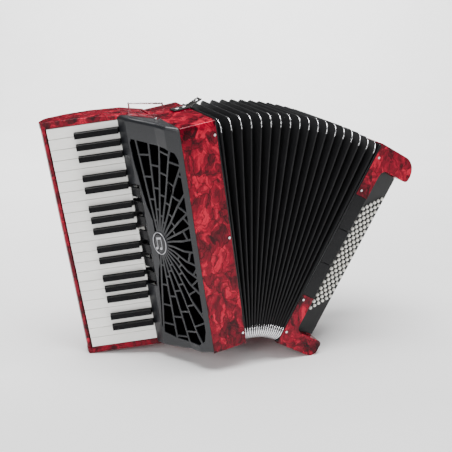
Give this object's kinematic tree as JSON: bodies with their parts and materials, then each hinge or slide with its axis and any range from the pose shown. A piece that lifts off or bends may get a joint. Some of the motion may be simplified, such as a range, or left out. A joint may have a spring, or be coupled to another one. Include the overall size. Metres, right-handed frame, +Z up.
{
  "type": "piano accordion",
  "caption": "Piano accordion with a treble keyboard, register tabs, a fanned bellows and a slanted bass button board, standing on its two lower corners.",
  "frame": {"origin": "centre of the bounding box's base, on the surface that the instrument stands on", "axes": "+X from the keyboard towards the bass side, +Y from the front (grille) to the player's side, +Z up"},
  "size_m": [0.6676, 0.1942, 0.4867],
  "materials": {
    "pearloid": "marbled pearl, polished",
    "black_wood": "black stain",
    "wood": "planed spruce",
    "chrome": "polished",
    "steel": "drawn wire",
    "cover_plastic": "satin moulded",
    "grille_cloth": "woven mesh",
    "badge": "black with silver ring",
    "bellows_cloth": "coated cloth on card",
    "corner_metal": "polished",
    "leather": "grained",
    "board_black": "satin",
    "rubber": "moulded",
    "knurled_plastic": "ribbed",
    "button_white": "cream",
    "key_white": "ivory white",
    "sharp_black": "satin black",
    "tab_black": "satin black"
  },
  "bodies": {
    "treble": {"treble_casing": "pearloid", "treble_bellows_frame": "black_wood", "treble_bellows_pins": "chrome", "foundation_board": "wood", "treble_reed_blocks": "wood", "grille_cover": "cover_plastic", "grille_mesh": "grille_cloth", "grille_badge": "badge", "cover_studs": "chrome", "keyboard_bed": "pearloid", "keyboard_cheeks": "pearloid", "key_axle": "steel", "register_frame": "cover_plastic", "strap_brackets": "chrome", "bellows_folds": "bellows_cloth", "bellows_corners": "corner_metal", "top_bellows_strap": "leather", "bottom_bellows_strap": "leather"},
    "bass": {"bass_casing": "pearloid", "bass_button_board": "board_black", "bass_bellows_frame": "black_wood", "bass_bellows_pins": "chrome", "bass_reed_blocks": "wood", "bass_foundation": "wood", "bass_machine": "steel", "bass_cover": "cover_plastic", "rubber_feet": "rubber", "hand_strap": "leather", "strap_anchors": "chrome"},
    "key_f": {"keys_f": "key_white"},
    "key_f_sharp": {"keys_f_sharp": "sharp_black"},
    "key_g": {"keys_g": "key_white"},
    "key_g_sharp": {"keys_g_sharp": "sharp_black"},
    "key_a": {"keys_a": "key_white"},
    "key_a_sharp": {"keys_a_sharp": "sharp_black"},
    "key_b": {"keys_b": "key_white"},
    "key_c": {"keys_c": "key_white"},
    "key_c_sharp": {"keys_c_sharp": "sharp_black"},
    "key_d": {"keys_d": "key_white"},
    "key_d_sharp": {"keys_d_sharp": "sharp_black"},
    "key_e": {"keys_e": "key_white"},
    "register_1": {"treble_register_1": "tab_black"},
    "register_2": {"treble_register_2": "tab_black"},
    "register_3": {"treble_register_3": "tab_black"},
    "register_4": {"treble_register_4": "tab_black"},
    "register_5": {"treble_register_5": "tab_black"},
    "register_6": {"treble_register_6": "tab_black"},
    "register_7": {"treble_register_7": "tab_black"},
    "row_counter_bass": {"counter_bass_buttons": "button_white"},
    "row_bass": {"bass_buttons": "button_white"},
    "row_major": {"major_buttons": "button_white"},
    "row_minor": {"minor_buttons": "button_white"},
    "row_seventh": {"seventh_buttons": "button_white"},
    "row_diminished": {"diminished_buttons": "button_white"},
    "bass_bar_1": {"bass_register_1": "tab_black"},
    "bass_bar_2": {"bass_register_2": "tab_black"},
    "bass_bar_3": {"bass_register_3": "tab_black"},
    "wheel": {"strap_wheel": "knurled_plastic"},
    "air": {"air_button": "button_white"}
  },
  "joints": [
    {"name": "bellows_fan", "type": "hinge", "parent": "treble", "child": "bass", "pos_m": [0.02756, -0.0957, 0.04729], "axis": [0, 1, 0], "range_deg": [-38.5, 16.5], "deforming": ["bellows_folds", "bellows_corners"]},
    {"name": "press_f", "type": "hinge", "parent": "treble", "child": "key_f", "pos_m": [-0.16307, 0.02603, 0.2461], "axis": [0.167, 0, -0.9859], "range_deg": [0, 1.9], "stiffness_Nm_per_rad": 0.8, "springref_deg": -17.19},
    {"name": "press_f_sharp", "type": "hinge", "parent": "treble", "child": "key_f_sharp", "pos_m": [-0.16307, 0.02603, 0.2461], "axis": [0.167, 0, -0.9859], "range_deg": [0, 1.9], "stiffness_Nm_per_rad": 0.8, "springref_deg": -17.19},
    {"name": "press_g", "type": "hinge", "parent": "treble", "child": "key_g", "pos_m": [-0.16307, 0.02603, 0.2461], "axis": [0.167, 0, -0.9859], "range_deg": [0, 1.9], "stiffness_Nm_per_rad": 0.8, "springref_deg": -17.19},
    {"name": "press_g_sharp", "type": "hinge", "parent": "treble", "child": "key_g_sharp", "pos_m": [-0.16307, 0.02603, 0.2461], "axis": [0.167, 0, -0.9859], "range_deg": [0, 1.9], "stiffness_Nm_per_rad": 0.8, "springref_deg": -17.19},
    {"name": "press_a", "type": "hinge", "parent": "treble", "child": "key_a", "pos_m": [-0.16307, 0.02603, 0.2461], "axis": [0.167, 0, -0.9859], "range_deg": [0, 1.9], "stiffness_Nm_per_rad": 0.8, "springref_deg": -17.19},
    {"name": "press_a_sharp", "type": "hinge", "parent": "treble", "child": "key_a_sharp", "pos_m": [-0.16307, 0.02603, 0.2461], "axis": [0.167, 0, -0.9859], "range_deg": [0, 1.9], "stiffness_Nm_per_rad": 0.8, "springref_deg": -17.19},
    {"name": "press_b", "type": "hinge", "parent": "treble", "child": "key_b", "pos_m": [-0.16307, 0.02603, 0.2461], "axis": [0.167, 0, -0.9859], "range_deg": [0, 1.9], "stiffness_Nm_per_rad": 0.8, "springref_deg": -17.19},
    {"name": "press_c", "type": "hinge", "parent": "treble", "child": "key_c", "pos_m": [-0.16307, 0.02603, 0.2461], "axis": [0.167, 0, -0.9859], "range_deg": [0, 1.9], "stiffness_Nm_per_rad": 0.8, "springref_deg": -17.19},
    {"name": "press_c_sharp", "type": "hinge", "parent": "treble", "child": "key_c_sharp", "pos_m": [-0.16307, 0.02603, 0.2461], "axis": [0.167, 0, -0.9859], "range_deg": [0, 1.9], "stiffness_Nm_per_rad": 0.8, "springref_deg": -17.19},
    {"name": "press_d", "type": "hinge", "parent": "treble", "child": "key_d", "pos_m": [-0.16307, 0.02603, 0.2461], "axis": [0.167, 0, -0.9859], "range_deg": [0, 1.9], "stiffness_Nm_per_rad": 0.8, "springref_deg": -17.19},
    {"name": "press_d_sharp", "type": "hinge", "parent": "treble", "child": "key_d_sharp", "pos_m": [-0.16307, 0.02603, 0.2461], "axis": [0.167, 0, -0.9859], "range_deg": [0, 1.9], "stiffness_Nm_per_rad": 0.8, "springref_deg": -17.19},
    {"name": "press_e", "type": "hinge", "parent": "treble", "child": "key_e", "pos_m": [-0.16307, 0.02603, 0.2461], "axis": [0.167, 0, -0.9859], "range_deg": [0, 1.9], "stiffness_Nm_per_rad": 0.8, "springref_deg": -17.19},
    {"name": "register_1_tab", "type": "hinge", "parent": "treble", "child": "register_1", "pos_m": [-0.14598, -0.0021, 0.16766], "axis": [0.167, 0, -0.9859], "range_deg": [0, 7]},
    {"name": "register_2_tab", "type": "hinge", "parent": "treble", "child": "register_2", "pos_m": [-0.15055, -0.0021, 0.19462], "axis": [0.167, 0, -0.9859], "range_deg": [0, 7]},
    {"name": "register_3_tab", "type": "hinge", "parent": "treble", "child": "register_3", "pos_m": [-0.15512, -0.0021, 0.22159], "axis": [0.167, 0, -0.9859], "range_deg": [0, 7]},
    {"name": "register_4_tab", "type": "hinge", "parent": "treble", "child": "register_4", "pos_m": [-0.15969, -0.0021, 0.24855], "axis": [0.167, 0, -0.9859], "range_deg": [0, 7]},
    {"name": "register_5_tab", "type": "hinge", "parent": "treble", "child": "register_5", "pos_m": [-0.16426, -0.0021, 0.27552], "axis": [0.167, 0, -0.9859], "range_deg": [0, 7]},
    {"name": "register_6_tab", "type": "hinge", "parent": "treble", "child": "register_6", "pos_m": [-0.16882, -0.0021, 0.30249], "axis": [0.167, 0, -0.9859], "range_deg": [0, 7]},
    {"name": "register_7_tab", "type": "hinge", "parent": "treble", "child": "register_7", "pos_m": [-0.17339, -0.0021, 0.32945], "axis": [0.167, 0, -0.9859], "range_deg": [0, 7]},
    {"name": "counter_bass_row", "type": "slide", "parent": "bass", "child": "row_counter_bass", "axis": [-0.37, 0.9063, 0.2041], "range_m": [0, 0.0032], "stiffness_N_per_m": 400, "springref_m": -0.004},
    {"name": "bass_row", "type": "slide", "parent": "bass", "child": "row_bass", "axis": [-0.37, 0.9063, 0.2041], "range_m": [0, 0.0032], "stiffness_N_per_m": 400, "springref_m": -0.004},
    {"name": "major_row", "type": "slide", "parent": "bass", "child": "row_major", "axis": [-0.37, 0.9063, 0.2041], "range_m": [0, 0.0032], "stiffness_N_per_m": 400, "springref_m": -0.004},
    {"name": "minor_row", "type": "slide", "parent": "bass", "child": "row_minor", "axis": [-0.37, 0.9063, 0.2041], "range_m": [0, 0.0032], "stiffness_N_per_m": 400, "springref_m": -0.004},
    {"name": "seventh_row", "type": "slide", "parent": "bass", "child": "row_seventh", "axis": [-0.37, 0.9063, 0.2041], "range_m": [0, 0.0032], "stiffness_N_per_m": 400, "springref_m": -0.004},
    {"name": "diminished_row", "type": "slide", "parent": "bass", "child": "row_diminished", "axis": [-0.37, 0.9063, 0.2041], "range_m": [0, 0.0032], "stiffness_N_per_m": 400, "springref_m": -0.004},
    {"name": "bass_bar_1_push", "type": "slide", "parent": "bass", "child": "bass_bar_1", "axis": [0, 1, 0], "range_m": [0, 0.0025]},
    {"name": "bass_bar_2_push", "type": "slide", "parent": "bass", "child": "bass_bar_2", "axis": [0, 1, 0], "range_m": [0, 0.0025]},
    {"name": "bass_bar_3_push", "type": "slide", "parent": "bass", "child": "bass_bar_3", "axis": [0, 1, 0], "range_m": [0, 0.0025]},
    {"name": "strap_wheel_turn", "type": "hinge", "parent": "bass", "child": "wheel", "pos_m": [0.32071, 0.0243, 0.34681], "axis": [0.483, 0, 0.8756], "continuous": true},
    {"name": "air_button_push", "type": "slide", "parent": "bass", "child": "air", "axis": [-0.8756, 0, 0.483], "range_m": [0, 0.004], "stiffness_N_per_m": 300, "springref_m": -0.004}
  ]
}
